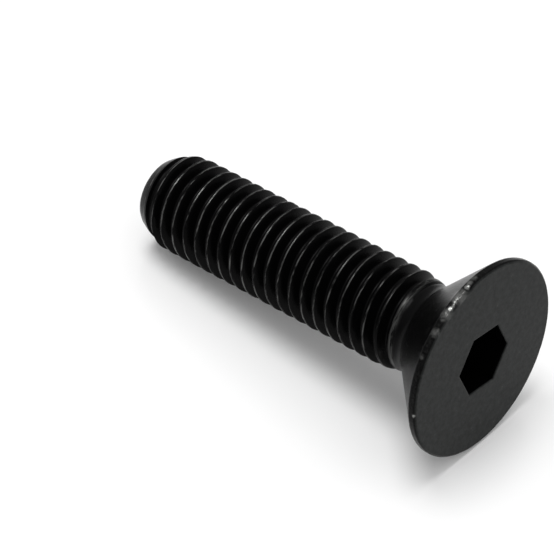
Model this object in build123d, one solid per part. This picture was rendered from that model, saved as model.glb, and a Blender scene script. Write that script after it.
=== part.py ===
"""Countersunk socket screw, M10 x 40, one piece of black steel, lying at rest on a flat surface.

The screw is worked out along its own axis, Z, with the head's face at z = 0 and the tip at z = length.
It is then laid down, so that it rests on the rim of its head and on a crest of its thread near the tip.
Millimetres. When it lies, +Z is up, the head is at the +X end and the tip at the -X end.
"""
from build123d import *

import os
from math import atan, ceil, cos, degrees, floor, pi, radians, sin, tan

# Screw as a whole
length = 39.9                    # from the head's face to the tip
thread_major_r = 4.9             # over the thread's crests
head_r = 9.85                    # over the head's rim

# Head
rim_height = 0.75                # rim between the face and the cone, with the bevel round the face
face_edge = 0.2                  # bevel round the face
cone_half_angle = radians(45)    # a 90 degree countersink

# Socket for a hexagon key
socket_flats = 6.05              # across the flats
socket_depth = 4.4               # straight depth of the flats
socket_point_angle = radians(60)  # half the angle of the cone that closes the socket
socket_mouth = 0.1               # bevel round the mouth
socket_turn = 36.5               # degrees from the top of the lying head to a corner of the hexagon

# Thread, metric coarse, right-handed, with the profile of its standard
pitch = 1.5
flank_angle = radians(30)
sharp_height = pitch / 2 / tan(flank_angle)
thread_depth = sharp_height * (1 - 1 / 8 - 1 / 6)  # an eighth is off the crests and a sixth off the roots
crest_width = pitch / 8
flank_width = thread_depth * tan(flank_angle)
root_r = thread_major_r - thread_depth
crest_on_top = 9.18              # from the face to the middle of one crest, on the top of the lying screw
patches_per_turn = 4             # each helical strip is built from this many patches a turn

# Neck under the head, as thick as the thread is at its pitch line
neck_r = thread_major_r - sharp_height * 3 / 8
neck_fillet = 1.4                # between the cone and the neck
neck_length = 1.0                # from the corner that the fillet rounds to the first of the thread's roots
cone_end = rim_height + (head_r - neck_r) / tan(cone_half_angle)
neck_end = cone_end + neck_length
root_runout = pitch * 2 / 3      # from the neck to the full depth of the roots
crest_runout = pitch * 3 / 2     # from the neck to the full height of the crests
crest_lead = pitch / 10          # the crests start to rise this much before the roots deepen

# Tip
tip_r = 3.55                     # at the very end
tip_chamfer = 2.75               # length of the cone that takes the thread down to the end
tip_start = length - tip_chamfer

# Lap of one turned shape past another, where a cut or a join goes through
lap = 0.3


def on_line(r, start, end):
    """The height at which the straight line through two (radius, height) points has the radius r."""
    share = (r - start[0]) / (end[0] - start[0])
    return start[1] + share * (end[1] - start[1])


def turned(outline):
    """A solid turned about Z from an outline of (radius, height) points."""
    return revolve(make_face(Plane.XZ * Polyline(outline, close=True)), Axis.Z)


def helical_patch(lower, upper, start, end):
    """The surface that a line between two (radius, height) points sweeps as it turns and rises.

    start and end are in turns. Each rim is a weighted curve, which follows its circle exactly, and
    the weight of one rim goes by the radius of the other, so that the patch isn't sheared.
    """
    middle = (start + end) / 2
    half = cos(pi * (end - start))
    points = []
    weights = []
    for (r, height), weight in ((lower, upper[0]), (upper, lower[0])):
        row = []
        for turn, reach in ((start, r), (middle, r / half), (end, r)):
            angle = 2 * pi * turn
            row.append(Vector(reach * cos(angle), reach * sin(angle), height + pitch * turn))
        points.append(row)
        weights.append([weight, weight * half, weight])
    return Face.make_bezier_surface(points, weights)


def helicoid_patch(r, height, start, end):
    """An end of the bar: the surface that a level line out from the axis sweeps as it turns and rises."""
    middle = (start + end) / 2
    half = cos(pi * (end - start))
    axis_row = [Vector(0, 0, height + pitch * turn) for turn in (start, middle, end)]
    rim_row = []
    for turn, reach in ((start, r), (middle, r / half), (end, r)):
        angle = 2 * pi * turn
        rim_row.append(Vector(reach * cos(angle), reach * sin(angle), height + pitch * turn))
    rim_weights = [1, half, 1]
    return Face.make_bezier_surface([axis_row, rim_row], [rim_weights, rim_weights])


def threaded_bar(low, high):
    """A bar with full thread that covers at least the heights from low to high."""
    first_crest = crest_on_top - flank_width - crest_width / 2
    skipped = ceil((first_crest + pitch - low) / pitch)
    bottom = first_crest - skipped * pitch
    turns = ceil((high - bottom) / pitch)
    top = bottom + turns * pitch
    profile = [
        (root_r, 0),
        (thread_major_r, flank_width),
        (thread_major_r, flank_width + crest_width),
        (root_r, 2 * flank_width + crest_width),
        (root_r, pitch),
    ]
    faces = []
    for patch in range(turns * patches_per_turn):
        start = patch / patches_per_turn
        end = (patch + 1) / patches_per_turn
        for (r0, z0), (r1, z1) in zip(profile, profile[1:]):
            faces.append(helical_patch((r0, bottom + z0), (r1, bottom + z1), start, end))
    for patch in range(patches_per_turn):
        start = patch / patches_per_turn
        end = (patch + 1) / patches_per_turn
        faces.append(helicoid_patch(root_r, bottom, start, end))
        faces.append(helicoid_patch(root_r, top, start, end))
    for height in (bottom, top):
        outline = [(r, 0, height + z) for r, z in profile]
        outline += [(0, 0, height + pitch), (0, 0, height)]
        faces.append(Face(Wire.make_polygon(outline, close=True)))
    return Solid(Shell(faces))


def thread():
    """The threaded bar, cut to rise out of the neck and to end in the tip's chamfer."""
    rise_start = (neck_r, neck_end - crest_lead)
    rise_end = (thread_major_r, neck_end - crest_lead + crest_runout)
    inside = neck_r - lap / 2
    outside = thread_major_r + lap
    foot = on_line(inside, rise_start, rise_end) - lap
    chamfer_start = (thread_major_r, tip_start)
    chamfer_end = (tip_r, length)
    envelope = turned([
        (0, foot),
        (inside, foot),
        (inside, foot + lap),
        (outside, on_line(outside, rise_start, rise_end)),
        (outside, on_line(outside, chamfer_start, chamfer_end)),
        (tip_r, length),
        (0, length),
    ])
    return threaded_bar(foot - lap, length + lap) & envelope


def head_and_neck():
    """The head, the neck and the plug inside the first turns, on which the roots run out."""
    tangent = neck_fillet * tan(cone_half_angle / 2)
    fillet_start = (neck_r + tangent * sin(cone_half_angle), cone_end - tangent * cos(cone_half_angle))
    fillet_end = (neck_r, cone_end + tangent)
    plug_r = root_r - lap
    plug_end = on_line(plug_r, (neck_r, neck_end), (root_r, neck_end + root_runout))
    with BuildSketch(Plane.XZ) as outline:
        with BuildLine():
            Polyline((0, 0), (head_r - face_edge, 0), (head_r, face_edge), (head_r, rim_height), fillet_start)
            Bezier(fillet_start, (neck_r, cone_end), fillet_end)
            Polyline(fillet_end, (neck_r, neck_end), (plug_r, plug_end), (0, plug_end), (0, 0))
        make_face()
    return revolve(outline.sketch, Axis.Z)


def socket():
    """The hollow for a hexagon key, with the shallow cone that closes it."""
    flats = RegularPolygon(socket_flats / 2, 6, major_radius=False, rotation=socket_turn)
    point = socket_flats / 2 / tan(socket_point_angle)
    cone = Cone(socket_flats / 2, 0, point, align=(Align.CENTER, Align.CENTER, Align.MIN))
    return extrude(flats, socket_depth) + Pos(0, 0, socket_depth) * cone


def screw():
    """The whole screw, along Z."""
    body = head_and_neck() + thread() - socket()
    face = body.faces().filter_by(Plane.XY).sort_by(Axis.Z)[0]
    return chamfer(face.inner_wires()[0].edges(), socket_mouth)


def lying(body):
    """The screw at rest, on its head's rim and on the crest underneath that lifts its tip the most."""
    crest_underneath = crest_on_top + pitch / 2
    crests_on = floor((tip_start + crest_width / 2 - crest_underneath) / pitch)
    last_crest = crest_underneath + crests_on * pitch
    end_of_last = min(last_crest + crest_width / 2, tip_start)
    start_of_next = last_crest + pitch - crest_width / 2
    next_r = thread_major_r - (start_of_next - tip_start) * (thread_major_r - tip_r) / tip_chamfer
    slope_on_last = (head_r - thread_major_r) / (end_of_last - rim_height)
    slope_on_next = (head_r - next_r) / (start_of_next - rim_height)
    tilt = atan(min(slope_on_last, slope_on_next))
    body = Rot(0, -90 - degrees(tilt), 0) * body
    box = body.bounding_box()
    return Pos(-box.center().X, -box.center().Y, -box.min.Z) * body


os.makedirs("parts", exist_ok=True)
countersunk_socket_screw = lying(screw())
export_step(countersunk_socket_screw, "parts/countersunk_socket_screw.step")
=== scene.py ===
"""Countersunk socket screw, M10 x 40, in black oxide steel, lying on a pale floor.

The screw is modelled upright in millimetres, with its face at z = 0 and its tip at z = length, as on
its drawing. The lying matrix then turns it over and brings it to metres, where it lies on the rim of its
head and on a crest of its thread.
"""

from math import atan, atan2, ceil, cos, floor, pi, radians, sin, sqrt, tan

import bmesh
import bpy
from mathutils import Matrix, Vector, noise


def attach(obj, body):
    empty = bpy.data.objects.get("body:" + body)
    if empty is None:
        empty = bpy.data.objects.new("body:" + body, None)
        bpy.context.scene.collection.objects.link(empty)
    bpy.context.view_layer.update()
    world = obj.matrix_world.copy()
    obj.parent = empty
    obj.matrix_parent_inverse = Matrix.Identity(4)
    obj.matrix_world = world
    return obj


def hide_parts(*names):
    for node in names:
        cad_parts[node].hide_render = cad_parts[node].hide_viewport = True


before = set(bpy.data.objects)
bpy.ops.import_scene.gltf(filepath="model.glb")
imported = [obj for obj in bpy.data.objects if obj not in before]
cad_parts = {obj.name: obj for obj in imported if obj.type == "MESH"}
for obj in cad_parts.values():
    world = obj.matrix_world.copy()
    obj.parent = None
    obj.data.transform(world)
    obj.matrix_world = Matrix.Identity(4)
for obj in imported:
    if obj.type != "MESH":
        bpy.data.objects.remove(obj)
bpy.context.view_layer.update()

# Screw as a whole
length = 39.9                    # from the head's face to the tip
thread_major_r = 4.9             # over the thread's crests
head_r = 9.85                    # over the head's rim

# Head
rim_height = 0.75                # rim between the face and the cone, with the bevel round the face
face_edge = 0.2                  # bevel round the face
edge_round = 0.06                # rounding of the bevel's two edges
rim_round = 0.12                 # rounding between the rim and the cone
cone_angle = radians(45)         # half of a 90 degree countersink
head_steps = 480                 # faces round the head
face_rings = (4.4, 6.5, 8.5, 8.9, 9.15, 9.35, 9.48)  # closer near the rim, where the dents are
support = 0.04                   # from a rounded edge to the ring that holds its faces flat
pole_r = 0.05                    # of the small face that closes a cone or a flat end

# Unevenness of the rim, as it was forged and trimmed
rim_wave = 0.01                  # slow, round the rim
rim_grain = 0.012                # fine
knocked_width = 0.6              # how far in from the outside the knocks reach
knocked_height = 0.5             # and how far along the cone

# Dents in the rim: degrees round from the top, height from the face, reach and depth
rim_dents = (
    (349.0, 0.05, 0.50, 0.12),
    (344.5, 0.05, 0.35, 0.06),
    (338.3, 0.05, 0.45, 0.12),
    (334.5, 0.20, 0.50, 0.09),
    (331.0, 0.30, 0.30, 0.05),
    (321.0, 0.30, 0.40, 0.05),
    (304.5, 0.70, 0.40, 0.06),
    (270.0, 0.10, 0.30, 0.06),
    (118.0, 0.15, 0.40, 0.05),
    (62.0, 0.70, 0.35, 0.05),
    (205.0, 0.65, 0.30, 0.04),
)

# Places where the rim is rubbed: degrees round from the top, height from the face, reach and how bare
rim_rubs = (
    (356.0, 0.62, 0.60, 0.50),
    (352.0, 0.55, 0.50, 0.60),
    (342.0, 0.42, 1.30, 0.62),
    (330.0, 0.35, 1.00, 0.55),
    (319.0, 0.35, 0.80, 0.50),
    (304.5, 0.60, 0.40, 0.50),
    (348.8, 0.40, 0.36, 1.00),
    (345.3, 0.50, 0.30, 0.60),
    (343.0, 0.46, 0.30, 0.45),
    (340.5, 0.42, 0.30, 0.90),
    (338.2, 0.29, 0.28, 0.95),
    (335.6, 0.25, 0.26, 1.10),
    (333.8, 0.31, 0.30, 1.15),
    (330.6, 0.42, 0.42, 0.50),
    (326.7, 0.29, 0.42, 0.50),
    (320.6, 0.24, 0.36, 0.55),
    (270.0, 0.10, 0.27, 1.30),
    (205.0, 0.60, 0.35, 0.60),
    (118.0, 0.15, 0.35, 0.60),
    (62.0, 0.68, 0.35, 0.60),
)

# Socket for a hexagon key
socket_flats = 6.05              # across the flats
socket_depth = 4.4               # straight depth of the flats
socket_point_angle = radians(60)  # half the angle of the cone that closes the socket
socket_mouth = 0.1               # bevel round the mouth
socket_turn = radians(36.5)      # from the top of the lying head to a corner of the hexagon

# Thread, metric coarse, right-handed
pitch = 1.5
flank_angle = radians(30)
sharp_height = pitch * sqrt(3) / 2
root_r = thread_major_r - sharp_height * (1 - 1 / 8 - 1 / 6)
root_round = sharp_height / 6
crest_width = pitch / 8
crest_round = 0.1                # rounding of the crest's two edges
crest_on_top = 9.18              # from the face to the middle of one crest, on the top of the lying screw
turn_steps = 120                 # faces in a turn
arc_steps = 3                    # faces across each rounding of the profile
weld = 0.005                     # turns of the thread are joined where they are closer than this

# Unevenness of the crests, as they were rolled and rubbed
crest_band = 0.12                # how far down from the crest it reaches
crest_wave = 0.012               # what the crests lose on the whole, here more and there less
crest_knock = 0.09               # and what a knock takes off them besides

# Neck under the head
neck_r = thread_major_r - sharp_height * 3 / 8
neck_fillet = 1.4                # between the cone and the neck
neck_length = 1.0
cone_end = rim_height + (head_r - neck_r) / tan(cone_angle)
neck_end = cone_end + neck_length
neck_joint = neck_end - 0.3      # where the head's skin meets the thread's
neck_gap = 0.1                   # bridged there
root_runout = pitch * 2 / 3      # from the neck to the full depth of the roots
crest_runout = pitch * 3 / 2     # from the neck to the full height of the crests
crest_lead = pitch / 10          # the crests start to rise this much before the roots deepen
runout_soft = 0.06               # rounding where the crests reach their height

# Tip
tip_r = 3.55                     # at the very end
tip_chamfer = 2.75               # length of the cone that takes the thread down to the end
tip_round = 0.06                 # rounding of the edge of the flat end
tip_start = length - tip_chamfer
tip_joint = length - 0.5         # from here to the end the cone is plain
tip_rings = (0.36, 0.24, 0.14)   # of the plain cone, short of the end

# Cone that rolling leaves at the tip: it bulges, and it is higher on the side where the thread begins
rolled_start = length - 2.9
rolled_r = 4.731                 # where it starts
rolled_slope = 0.08              # how fast the radius falls at first
rolled_bulge = 0.109             # and how much faster it falls further on
rolled_lean = 0.187              # of the high side at the start
lean_length = 2.86               # over which the lean dies away
lean_angle = radians(45)
rolled_soft = 0.05               # rounding where the crests run out on the cone

# Wear, as shares of bare steel; on the head's side of the crests it is partly wear and partly a painted
# highlight
wear_end = rim_height + 0.6      # up to here the wear is the rim's, and beyond it the thread's
wear_width = 0.5                 # of the wear on the rim, in from the outside
edge_bare = 0.27                 # all round the edge of the face
edge_bare_r = head_r - face_edge * 0.8  # the edge of the face lies outside this
runout_bare = 0.5                # where the crest rises from the neck
runout_bare_end = neck_end + crest_runout * 0.6
runout_bare_width = 0.3
# Along the crests the bare steel is partly wear and partly a painted highlight, set on the head's side
# where the lamp's highlight falls, and more of it towards the tip
crest_wear_and_highlight_amount = 0.5                 # on the head's side of each crest
crest_wear_and_highlight_gain = 0.8            # more of it towards the tip
crest_wear_and_highlight_place = 0.06          # from the middle of the crest
crest_wear_and_highlight_width = 0.075
crest_wear_and_highlight_depth = 0.1

# Colours, darkest and lightest of each
satin_oxide = ((0.0006, 0.0006, 0.0007, 1), (0.0014, 0.0014, 0.0015, 1))
# The face's lighter, greenish tone is partly its own duller oxide and partly a painted reflection of the
# pale floor
face_oxide_and_reflection = ((0.0107, 0.0113, 0.011, 1), (0.0276, 0.0294, 0.0285, 1))
# Bare steel shows real wear on the rim and run-out, and on the crests it also paints a highlight
bare_steel_and_highlight = (0.196, 0.198, 0.192, 1)

millimetre = 0.001
bump_height = 0.03 * millimetre


def lying_matrix():
    """The turn and shift that lay the upright screw on its rim and on the crest that holds its tip up."""
    crest_underneath = crest_on_top + pitch / 2
    last = crest_underneath + floor((tip_start + crest_width / 2 - crest_underneath) / pitch) * pitch
    end_of_last = min(last + crest_width / 2, tip_start)
    start_of_next = last + pitch - crest_width / 2
    next_r = thread_major_r - (start_of_next - tip_start) * (thread_major_r - tip_r) / tip_chamfer
    tilt = atan(min(
        (head_r - thread_major_r) / (end_of_last - rim_height),
        (head_r - next_r) / (start_of_next - rim_height),
    ))
    head_end = (head_r - face_edge) * sin(tilt)
    tip_end = -tip_r * sin(tilt) - length * cos(tilt)
    lift = rim_height * sin(tilt) + head_r * cos(tilt)
    turn = Matrix.Rotation(-pi / 2 - tilt, 4, "Y")
    shift = Matrix.Translation((-(head_end + tip_end) / 2, 0, lift))
    return Matrix.Scale(millimetre, 4) @ shift @ turn


lying = lying_matrix()


def ring_edges(mesh, r, z):
    """The edges of the ring that has this radius and height."""
    slack = 0.004

    def on_ring(vert):
        return abs(vert.co.z - z) < slack and abs(vert.co.xy.length - r) < slack

    return [edge for edge in mesh.edges if on_ring(edge.verts[0]) and on_ring(edge.verts[1])]


def open_edges(mesh, z, slack=0.02):
    """The open edges at one height, where two turned shapes are to be joined."""
    return [e for e in mesh.edges if e.is_boundary and all(abs(v.co.z - z) < slack for v in e.verts)]


def spun(mesh, outline, start, steps):
    """Turns an outline of (radius, height) points right round the screw's axis."""
    verts = [mesh.verts.new((r * cos(start), r * sin(start), z)) for r, z in outline]
    edges = [mesh.edges.new(pair) for pair in zip(verts, verts[1:])]
    bmesh.ops.spin(mesh, geom=verts + edges, axis=(0, 0, 1), angle=2 * pi, steps=steps, use_merge=True)


def turn_head(mesh):
    """Face, rim, cone and neck, turned in one go, with the edges rounded and the neck's fillet."""
    rim_rows = 6
    cone_rows = 5
    outline = [(r, 0) for r in face_rings]
    outline += [(head_r - face_edge - edge_round - support, 0), (head_r - face_edge, 0)]
    for row in range(rim_rows + 1):
        outline.append((head_r, face_edge + (rim_height - face_edge) * row / rim_rows))
    for row in range(cone_rows + 1):
        share = max(row / cone_rows, (rim_round + support) / (head_r - neck_r))
        outline.append((head_r + (neck_r - head_r) * share, rim_height + (cone_end - rim_height) * share))
    outline.append((neck_r, neck_joint - neck_gap))
    spun(mesh, outline, socket_turn, head_steps)
    roundings = (
        (head_r - face_edge, 0, edge_round, 3),
        (head_r, face_edge, edge_round, 3),
        (head_r, rim_height, rim_round, 4),
        (neck_r, cone_end, neck_fillet * tan(cone_angle / 2), 10),
    )
    for r, z, reach, segments in roundings:
        bmesh.ops.bevel(
            mesh, geom=ring_edges(mesh, r, z), offset=reach, offset_type="OFFSET", segments=segments,
            profile=0.5, affect="EDGES", material=-1,
        )


def sink_socket(mesh):
    """The hexagon is drawn down from the ring left open in the face, and closed by its shallow cone."""
    def to_hexagon(vert, reach, z):
        angle = (vert.co.to_2d().angle_signed(Vector((1, 0))) - socket_turn) % (pi / 3)
        vert.co.xy = vert.co.xy.normalized() * (reach / cos(angle - pi / 6))
        vert.co.z = z

    loop = open_edges(mesh, 0)
    apothem = socket_flats / 2
    for reach, z in (
        (apothem + socket_mouth + support, 0),
        (apothem + socket_mouth, 0),
        (apothem + socket_mouth * 0.3, socket_mouth * 0.3),
        (apothem, socket_mouth),
        (apothem, socket_mouth + support),
        (apothem, socket_depth),
    ):
        grown = bmesh.ops.extrude_edge_only(mesh, edges=loop)["geom"]
        loop = [item for item in grown if isinstance(item, bmesh.types.BMEdge)]
        for vert in grown:
            if isinstance(vert, bmesh.types.BMVert):
                to_hexagon(vert, reach, z)
    point_rings = (apothem * 0.98, 1.5, pole_r)
    drawn_on(mesh, loop, [(r, socket_depth + (apothem - r) / tan(socket_point_angle)) for r in point_rings])


def thread_outline():
    """One pitch of the thread, from the bottom of one root to the bottom of the next."""
    outline = []
    swing = pi / 2 - flank_angle
    for step in range(arc_steps + 1):
        angle = swing * step / arc_steps
        outline.append((root_r + root_round * (1 - cos(angle)), root_round * sin(angle)))
    reach = crest_round * tan(swing / 2)
    edge_start = pitch / 2 - crest_width / 2
    foot = outline[-1]
    top = (thread_major_r - reach * cos(flank_angle), edge_start - reach * sin(flank_angle))
    for share in (0.35, 0.7, 0.95):
        outline.append((foot[0] + (top[0] - foot[0]) * share, foot[1] + (top[1] - foot[1]) * share))
    for step in range(arc_steps + 1):
        angle = swing * (1 - step / arc_steps)
        outline.append((
            thread_major_r - crest_round * (1 - cos(angle)), edge_start + reach - crest_round * sin(angle),
        ))
    return outline + [(r, pitch - z) for r, z in reversed(outline)]


def roll_thread(mesh):
    """One turn of thread is spun and copied up the screw, and the copies are welded."""
    bottom = crest_on_top - pitch / 2
    bottom -= ceil((bottom + pitch - neck_joint) / pitch) * pitch
    verts = [mesh.verts.new((r, 0, bottom + z)) for r, z in thread_outline()]
    edges = [mesh.edges.new(pair) for pair in zip(verts, verts[1:])]
    bmesh.ops.spin(
        mesh, geom=verts + edges, axis=(0, 0, 1), dvec=(0, 0, pitch / turn_steps), angle=2 * pi,
        steps=turn_steps,
    )
    turn = mesh.verts[:] + mesh.edges[:] + mesh.faces[:]
    for count in range(1, ceil((tip_joint - bottom) / pitch) + 1):
        copy = bmesh.ops.duplicate(mesh, geom=turn)["geom"]
        moved = [item for item in copy if isinstance(item, bmesh.types.BMVert)]
        bmesh.ops.translate(mesh, verts=moved, vec=(0, 0, pitch * count))
    bmesh.ops.remove_doubles(mesh, verts=mesh.verts[:], dist=weld)
    for vert in mesh.verts:
        fit_to_blank(vert)
        dull_crest(vert)
    for height, side in ((neck_joint, "clear_inner"), (tip_joint, "clear_outer")):
        bmesh.ops.bisect_plane(
            mesh, geom=mesh.verts[:] + mesh.edges[:] + mesh.faces[:], dist=0.0005,
            plane_co=(0, 0, height), plane_no=(0, 0, 1), **{side: True},
        )


def lesser(a, b, soft):
    """The lesser of two radii, with the corner between them rounded off."""
    blend = max(soft - abs(a - b), 0) / soft
    return min(a, b) - blend * blend * soft / 4


def tip_radius(z, angle):
    """The radius of the tip's cone at one height and on one side."""
    on = max(z - rolled_start, 0)
    lean = rolled_lean * cos(angle - lean_angle) * max(1 - on / lean_length, 0)
    cone = rolled_r - rolled_slope * on - rolled_bulge * on * on + lean
    return max(cone, thread_major_r - (z - rolled_start))


def fit_to_blank(vert):
    """The thread rises out of the neck and runs out on the tip's cone, as high as the blank lets it."""
    z = vert.co.z
    r = vert.co.xy.length
    rise = neck_r + (z - neck_end + crest_lead) * (thread_major_r - neck_r) / crest_runout
    plug = neck_r + (z - neck_end) * (root_r - neck_r) / root_runout
    cone = tip_radius(z, atan2(vert.co.y, vert.co.x))
    if z < neck_end - crest_lead:
        r = neck_r
    elif z < neck_end + crest_runout + pitch:
        r = max(lesser(r, rise, runout_soft), min(plug, neck_r))
    if z > tip_start - pitch:
        r = lesser(r, cone, rolled_soft)
    vert.co.xy = vert.co.xy.normalized() * r


def dull_crest(vert):
    """The crests are rolled unevenly and rubbed in handling, by a few hundredths."""
    r = vert.co.xy.length
    if r > thread_major_r - crest_band:
        wave = noise.noise(vert.co * 0.55)
        knock = max(noise.noise(vert.co * 2.3 + Vector((7, 3, 1))) - 0.25, 0)
        lost = crest_wave + crest_wave * wave + crest_knock * knock
        vert.co.xy *= 1 - lost * (r - thread_major_r + crest_band) / crest_band / r


def on_rim(angle, height):
    """The point of the rim that lies so many degrees round from the top."""
    return Vector((head_r * cos(radians(angle)), head_r * sin(radians(angle)), height))


def knock_rim(mesh):
    """Dents where the rim has been knocked, and the slight waviness of a forged and trimmed edge."""
    inner_edge = head_r - face_edge - edge_round - 0.01
    for vert in mesh.verts:
        r = vert.co.xy.length
        if r < head_r - knocked_width or vert.co.z > rim_height + knocked_height:
            continue
        outward = Vector((vert.co.x / r, vert.co.y / r, 0))
        if r > inner_edge:
            wave = rim_wave * noise.noise(vert.co * 1.1)
            grain = rim_grain * max(noise.noise(vert.co * 4.0), 0)
            vert.co -= outward * (rim_wave + wave + grain)
        for angle, height, reach, depth in rim_dents:
            away = (vert.co - on_rim(angle, height)).length / reach
            if away < 1:
                vert.co += (Vector((0, 0, 0.5)) - outward) * depth * (1 - away * away) ** 2


def place_ring(verts, r, z):
    """Brings the points of a ring to one radius and height, each on its own side."""
    for vert in verts:
        vert.co.xy = vert.co.xy.normalized() * r
        vert.co.z = z


def drawn_on(mesh, loop, rings):
    """Draws an open edge on through rings of (radius, height) and closes the last one."""
    for r, z in rings:
        grown = bmesh.ops.extrude_edge_only(mesh, edges=loop)["geom"]
        loop = [item for item in grown if isinstance(item, bmesh.types.BMEdge)]
        place_ring([item for item in grown if isinstance(item, bmesh.types.BMVert)], r, z)
    bmesh.ops.holes_fill(mesh, edges=loop, sides=0)


def point_tip(mesh):
    """The plain end of the cone and the flat end, with the edge between them rounded."""
    rings = [(tip_radius(length - short, 0), length - short) for short in (*tip_rings, tip_round)]
    end_r = rings[-1][0] - tip_round * 0.2
    for inward, short in ((0.2, 0.35), (0.7, 0.05), (1.2, 0), (2, 0)):
        rings.append((end_r - tip_round * inward, length - tip_round * short))
    rings += [(end_r * 0.5, length), (pole_r, length)]
    drawn_on(mesh, open_edges(mesh, tip_joint), rings)


def rim_bareness(co):
    """How bare the steel is at a point near the rim: round the face's edge, and more where it is rubbed."""
    r = co.xy.length
    if r < head_r - wear_width:
        return 0
    bare = edge_bare if r > edge_bare_r else 0
    for angle, height, reach, amount in rim_rubs:
        near = max(1 - ((co - on_rim(angle, height)).length / reach) ** 2, 0)
        bare = max(bare, amount * near)
    return bare


def crest_wear_and_highlight(co):
    """How bare the steel is at a point of the neck or thread: worn on the run-out, and along the crests
    partly worn and partly a painted highlight.
    """
    r = co.xy.length
    angle = atan2(co.y, co.x)
    past_crest = ((co.z - crest_on_top) / pitch - angle / (2 * pi) + 0.5) % 1 - 0.5
    if co.z < neck_end - crest_lead or co.z > tip_joint:
        return 0
    if co.z < runout_bare_end:
        on_runout = max(1 - abs(past_crest * pitch) / runout_bare_width, 0)
        return runout_bare * on_runout if r > neck_r + 0.01 else 0
    # On the head's side of each crest: partly wear, partly a painted highlight
    on_edge = max(1 - abs(past_crest * pitch + crest_wear_and_highlight_place) / crest_wear_and_highlight_width, 0)
    reach = tip_radius(co.z, angle) if co.z > rolled_start else thread_major_r
    return on_edge * (crest_wear_and_highlight_amount + crest_wear_and_highlight_gain * co.z / length) if r > reach - crest_wear_and_highlight_depth else 0


def make_screw():
    """The whole screw in one closed skin, laid down and in place of the plain solid."""
    data = bpy.data.meshes.new("screw")
    thread = bmesh.new()
    roll_thread(thread)
    point_tip(thread)
    thread.to_mesh(data)
    thread.free()
    mesh = bmesh.new()
    turn_head(mesh)
    sink_socket(mesh)
    knock_rim(mesh)
    mesh.from_mesh(data)
    bmesh.ops.bridge_loops(mesh, edges=open_edges(mesh, neck_joint, neck_gap * 2))
    bmesh.ops.recalc_face_normals(mesh, faces=mesh.faces[:])
    # The bare share holds the wear of the rim and run-out, and along the crests wear together with a
    # painted highlight
    bare = mesh.verts.layers.float.new("bare")
    for vert in mesh.verts:
        vert[bare] = rim_bareness(vert.co) if vert.co.z < wear_end else crest_wear_and_highlight(vert.co)
    for face in mesh.faces:
        face.smooth = True
    for edge in mesh.edges:
        edge.smooth = edge.calc_face_angle(0) < radians(28)
    mesh.transform(lying)
    mesh.to_mesh(data)
    mesh.free()
    screw = bpy.data.objects.new("screw", data)
    bpy.context.scene.collection.objects.link(screw)
    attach(screw, "root")
    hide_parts("countersunk_socket_screw")
    return screw


class Finish:
    """A material with its nodes at hand."""

    def __init__(self, name):
        self.material = bpy.data.materials.new(name)
        self.material.use_nodes = True
        self.tree = self.material.node_tree
        self.shader = self.tree.nodes["Principled BSDF"]

    def node(self, kind, inputs=None, **settings):
        made = self.tree.nodes.new("ShaderNode" + kind)
        for key, value in settings.items():
            setattr(made, key, value)
        for key, value in (inputs or {}).items():
            if isinstance(value, bpy.types.NodeSocket):
                self.tree.links.new(value, made.inputs[key])
            else:
                made.inputs[key].default_value = value
        return made

    def math(self, operation, a, b):
        return self.node("Math", {0: a, 1: b}, operation=operation).outputs[0]

    def between(self, value, low, high):
        """Rises smoothly from 0 to 1 as the value goes from low to high."""
        made = self.node("MapRange", {"Value": value, "From Min": low, "From Max": high})
        made.interpolation_type = "SMOOTHSTEP"
        return made.outputs["Result"]

    def grain(self, where, scale, detail, roughness):
        made = self.node("TexNoise", {
            "Vector": where, "Scale": scale, "Detail": detail, "Roughness": roughness,
        })
        return made.outputs["Fac"]

    def mixed(self, share, a, b):
        made = self.node("Mix", {"Factor": share, "A": a, "B": b}, data_type="FLOAT")
        return made.outputs["Result"]

    def mixed_colour(self, share, a, b):
        made = self.node("Mix", data_type="RGBA")
        for socket, value in ((made.inputs[0], share), (made.inputs[6], a), (made.inputs[7], b)):
            if isinstance(value, bpy.types.NodeSocket):
                self.tree.links.new(value, socket)
            else:
                socket.default_value = value
        return made.outputs[2]

    def wire(self, value, socket):
        self.tree.links.new(value, self.shader.inputs[socket])


def wear_and_highlight_steel(finish, z, speck, streak):
    """How far the bare steel shows: in specks on the rim, and in broken lines on the crests that are partly
    wear and partly a painted highlight.
    """
    bare = finish.node("Attribute", attribute_name="bare").outputs["Fac"]
    rim_worn = finish.between(finish.math("MULTIPLY", bare, finish.math("ADD", speck, 0.5)), 0.22, 0.95)
    broken = finish.math("MULTIPLY", finish.between(streak, 0.42, 0.62), 0.75)
    # Broken lines on the crests, partly wear and partly a painted highlight
    crest_wear_and_highlight_mask = finish.math("MULTIPLY", bare, broken)
    return finish.mixed(finish.math("LESS_THAN", z, wear_end), crest_wear_and_highlight_mask, rim_worn)


def neck_rings(finish, z, streak, normal):
    """Fine rings left by turning, on the neck and the end of the cone only."""
    past_cone = finish.between(z, cone_end - 1.8, cone_end)
    past_neck = finish.between(z, neck_end + 0.4, neck_end + 1.6)
    turned_part = finish.math("MULTIPLY", past_cone, finish.math("SUBTRACT", 1.0, past_neck))
    return finish.node("Bump", {
        "Strength": finish.math("MULTIPLY", turned_part, 0.22), "Distance": bump_height, "Height": streak,
        "Normal": normal,
    }).outputs["Normal"]


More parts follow.
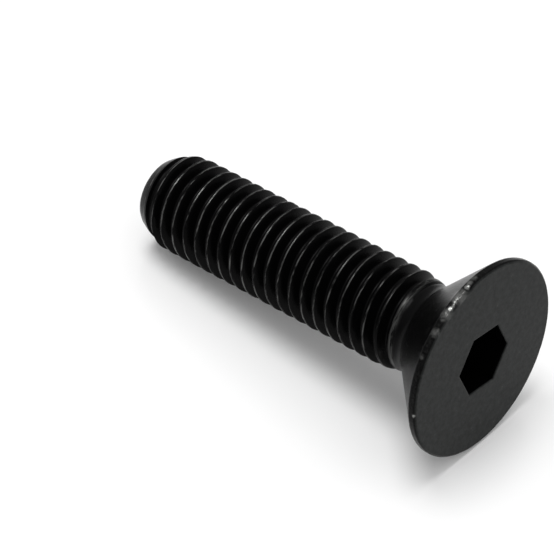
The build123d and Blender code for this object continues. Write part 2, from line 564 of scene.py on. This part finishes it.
def black_oxide():
    """Black oxide on steel: near black and satin, lighter on the face, with bare steel where it is rubbed;
    the face's tone is partly a painted reflection of the floor, and the bare steel on the crests partly a
    painted highlight.
    """
    finish = Finish("black_oxide")
    where = finish.node("Mapping", {
        "Vector": finish.node("TexCoord").outputs["Object"], "Location": lying.translation,
        "Rotation": lying.to_euler(), "Scale": (millimetre,) * 3,
    }, vector_type="TEXTURE").outputs["Vector"]
    z = finish.node("SeparateXYZ", {"Vector": where}).outputs["Z"]
    mottle = finish.grain(where, 1.6, 4.0, 0.6)
    fine = finish.grain(where, 14.0, 3.0, 0.6)
    speck = finish.grain(where, 5.0, 3.0, 0.6)
    drawn_out = finish.node("Mapping", {"Vector": where, "Scale": (0.35, 0.35, 3.0)}).outputs["Vector"]
    streak = finish.grain(drawn_out, 1.6, 4.0, 0.65)

    satin = finish.mixed_colour(mottle, *satin_oxide)
    # Lighter colour on the face: partly its own duller oxide, partly a painted reflection of the floor
    face_tone_and_reflection = finish.mixed_colour(finish.between(finish.mixed(0.4, mottle, speck), 0.3, 0.7), *face_oxide_and_reflection)
    on_face = finish.math("SUBTRACT", 1.0, finish.between(z, 0.03, 0.16))
    oxide = finish.mixed_colour(on_face, satin, face_tone_and_reflection)
    # Bare steel where worn, and along the crests a painted highlight as well
    wear_and_highlight_share = wear_and_highlight_steel(finish, z, speck, streak)
    finish.wire(finish.mixed_colour(wear_and_highlight_share, oxide, bare_steel_and_highlight), "Base Color")
    finish.wire(wear_and_highlight_share, "Metallic")
    finish.shader.inputs["Specular IOR Level"].default_value = 0.05
    finish.wire(finish.mixed(mottle, 0.19, 0.31), "Roughness")

    grit = finish.math("ADD", fine, finish.math("MULTIPLY", speck, 1.5))
    bump = finish.node("Bump", {"Strength": 0.16, "Distance": bump_height, "Height": grit})
    finish.wire(neck_rings(finish, z, streak, bump.outputs["Normal"]), "Normal")
    return finish.material


def lay_floor():
    """A pale floor that takes the screw's shadow and shows nearly white."""
    mesh = bmesh.new()
    bmesh.ops.create_grid(mesh, x_segments=2, y_segments=2, size=3.0)
    data = bpy.data.meshes.new("floor")
    mesh.to_mesh(data)
    mesh.free()
    sheet = bpy.data.objects.new("floor", data)
    bpy.context.scene.collection.objects.link(sheet)
    finish = Finish("pale_floor")
    finish.shader.inputs["Base Color"].default_value = (0.95, 0.95, 0.95, 1)
    finish.shader.inputs["Roughness"].default_value = 0.2
    path = finish.node("LightPath")
    seen = finish.math("MAXIMUM", path.outputs["Is Camera Ray"], path.outputs["Is Glossy Ray"])
    seen = finish.math("MAXIMUM", seen, path.outputs["Is Transmission Ray"])
    finish.shader.inputs["Emission Color"].default_value = (1, 1, 1, 1)
    finish.wire(finish.math("MULTIPLY", seen, 0.02), "Emission Strength")
    sheet.data.materials.append(finish.material)


def light_studio():
    """A wide soft lamp overhead, and surroundings that are brighter above than at eye level."""
    world = bpy.data.worlds.new("studio")
    bpy.context.scene.world = world
    world.use_nodes = True
    tree = world.node_tree
    background = tree.nodes["Background"]
    direction = tree.nodes.new("ShaderNodeTexCoord")
    parts = tree.nodes.new("ShaderNodeSeparateXYZ")
    tree.links.new(direction.outputs["Generated"], parts.inputs[0])
    fade = tree.nodes.new("ShaderNodeMapRange")
    fade.interpolation_type = "SMOOTHSTEP"
    for name, value in (("From Min", 0.15), ("From Max", 0.6), ("To Min", 0.45), ("To Max", 0.75)):
        fade.inputs[name].default_value = value
    tree.links.new(parts.outputs["Z"], fade.inputs["Value"])
    background.inputs["Color"].default_value = (1, 1, 1, 1)
    tree.links.new(fade.outputs["Result"], background.inputs["Strength"])
    overhead = bpy.data.lights.new("overhead", "SUN")
    overhead.angle = radians(30)
    overhead.energy = 1.5
    lamp = bpy.data.objects.new("overhead", overhead)
    bpy.context.scene.collection.objects.link(lamp)
    lamp.rotation_euler = Vector((-0.2, -0.05, 1)).to_track_quat("Z", "Y").to_euler()


def set_camera():
    """The camera looks down on the head's face from the side, from about a quarter of a metre."""
    right = Vector((0.745284, 0.664420, 0.055658))
    up = Vector((-0.497187, 0.498192, 0.710359))
    back = right.cross(up)
    place = Vector((0.109863, -0.144401, 0.185086))
    lens = bpy.data.cameras.new("camera")
    lens.sensor_width = 36
    lens.lens = 174.67
    camera = bpy.data.objects.new("camera", lens)
    bpy.context.scene.collection.objects.link(camera)
    turn = Matrix((right, up, back)).transposed().to_4x4()
    camera.matrix_world = Matrix.Translation(place) @ turn
    bpy.context.scene.camera = camera


set_camera()
lay_floor()
light_studio()
screw = make_screw()
screw.data.materials.append(black_oxide())
bpy.context.scene.view_settings.view_transform = "Standard"
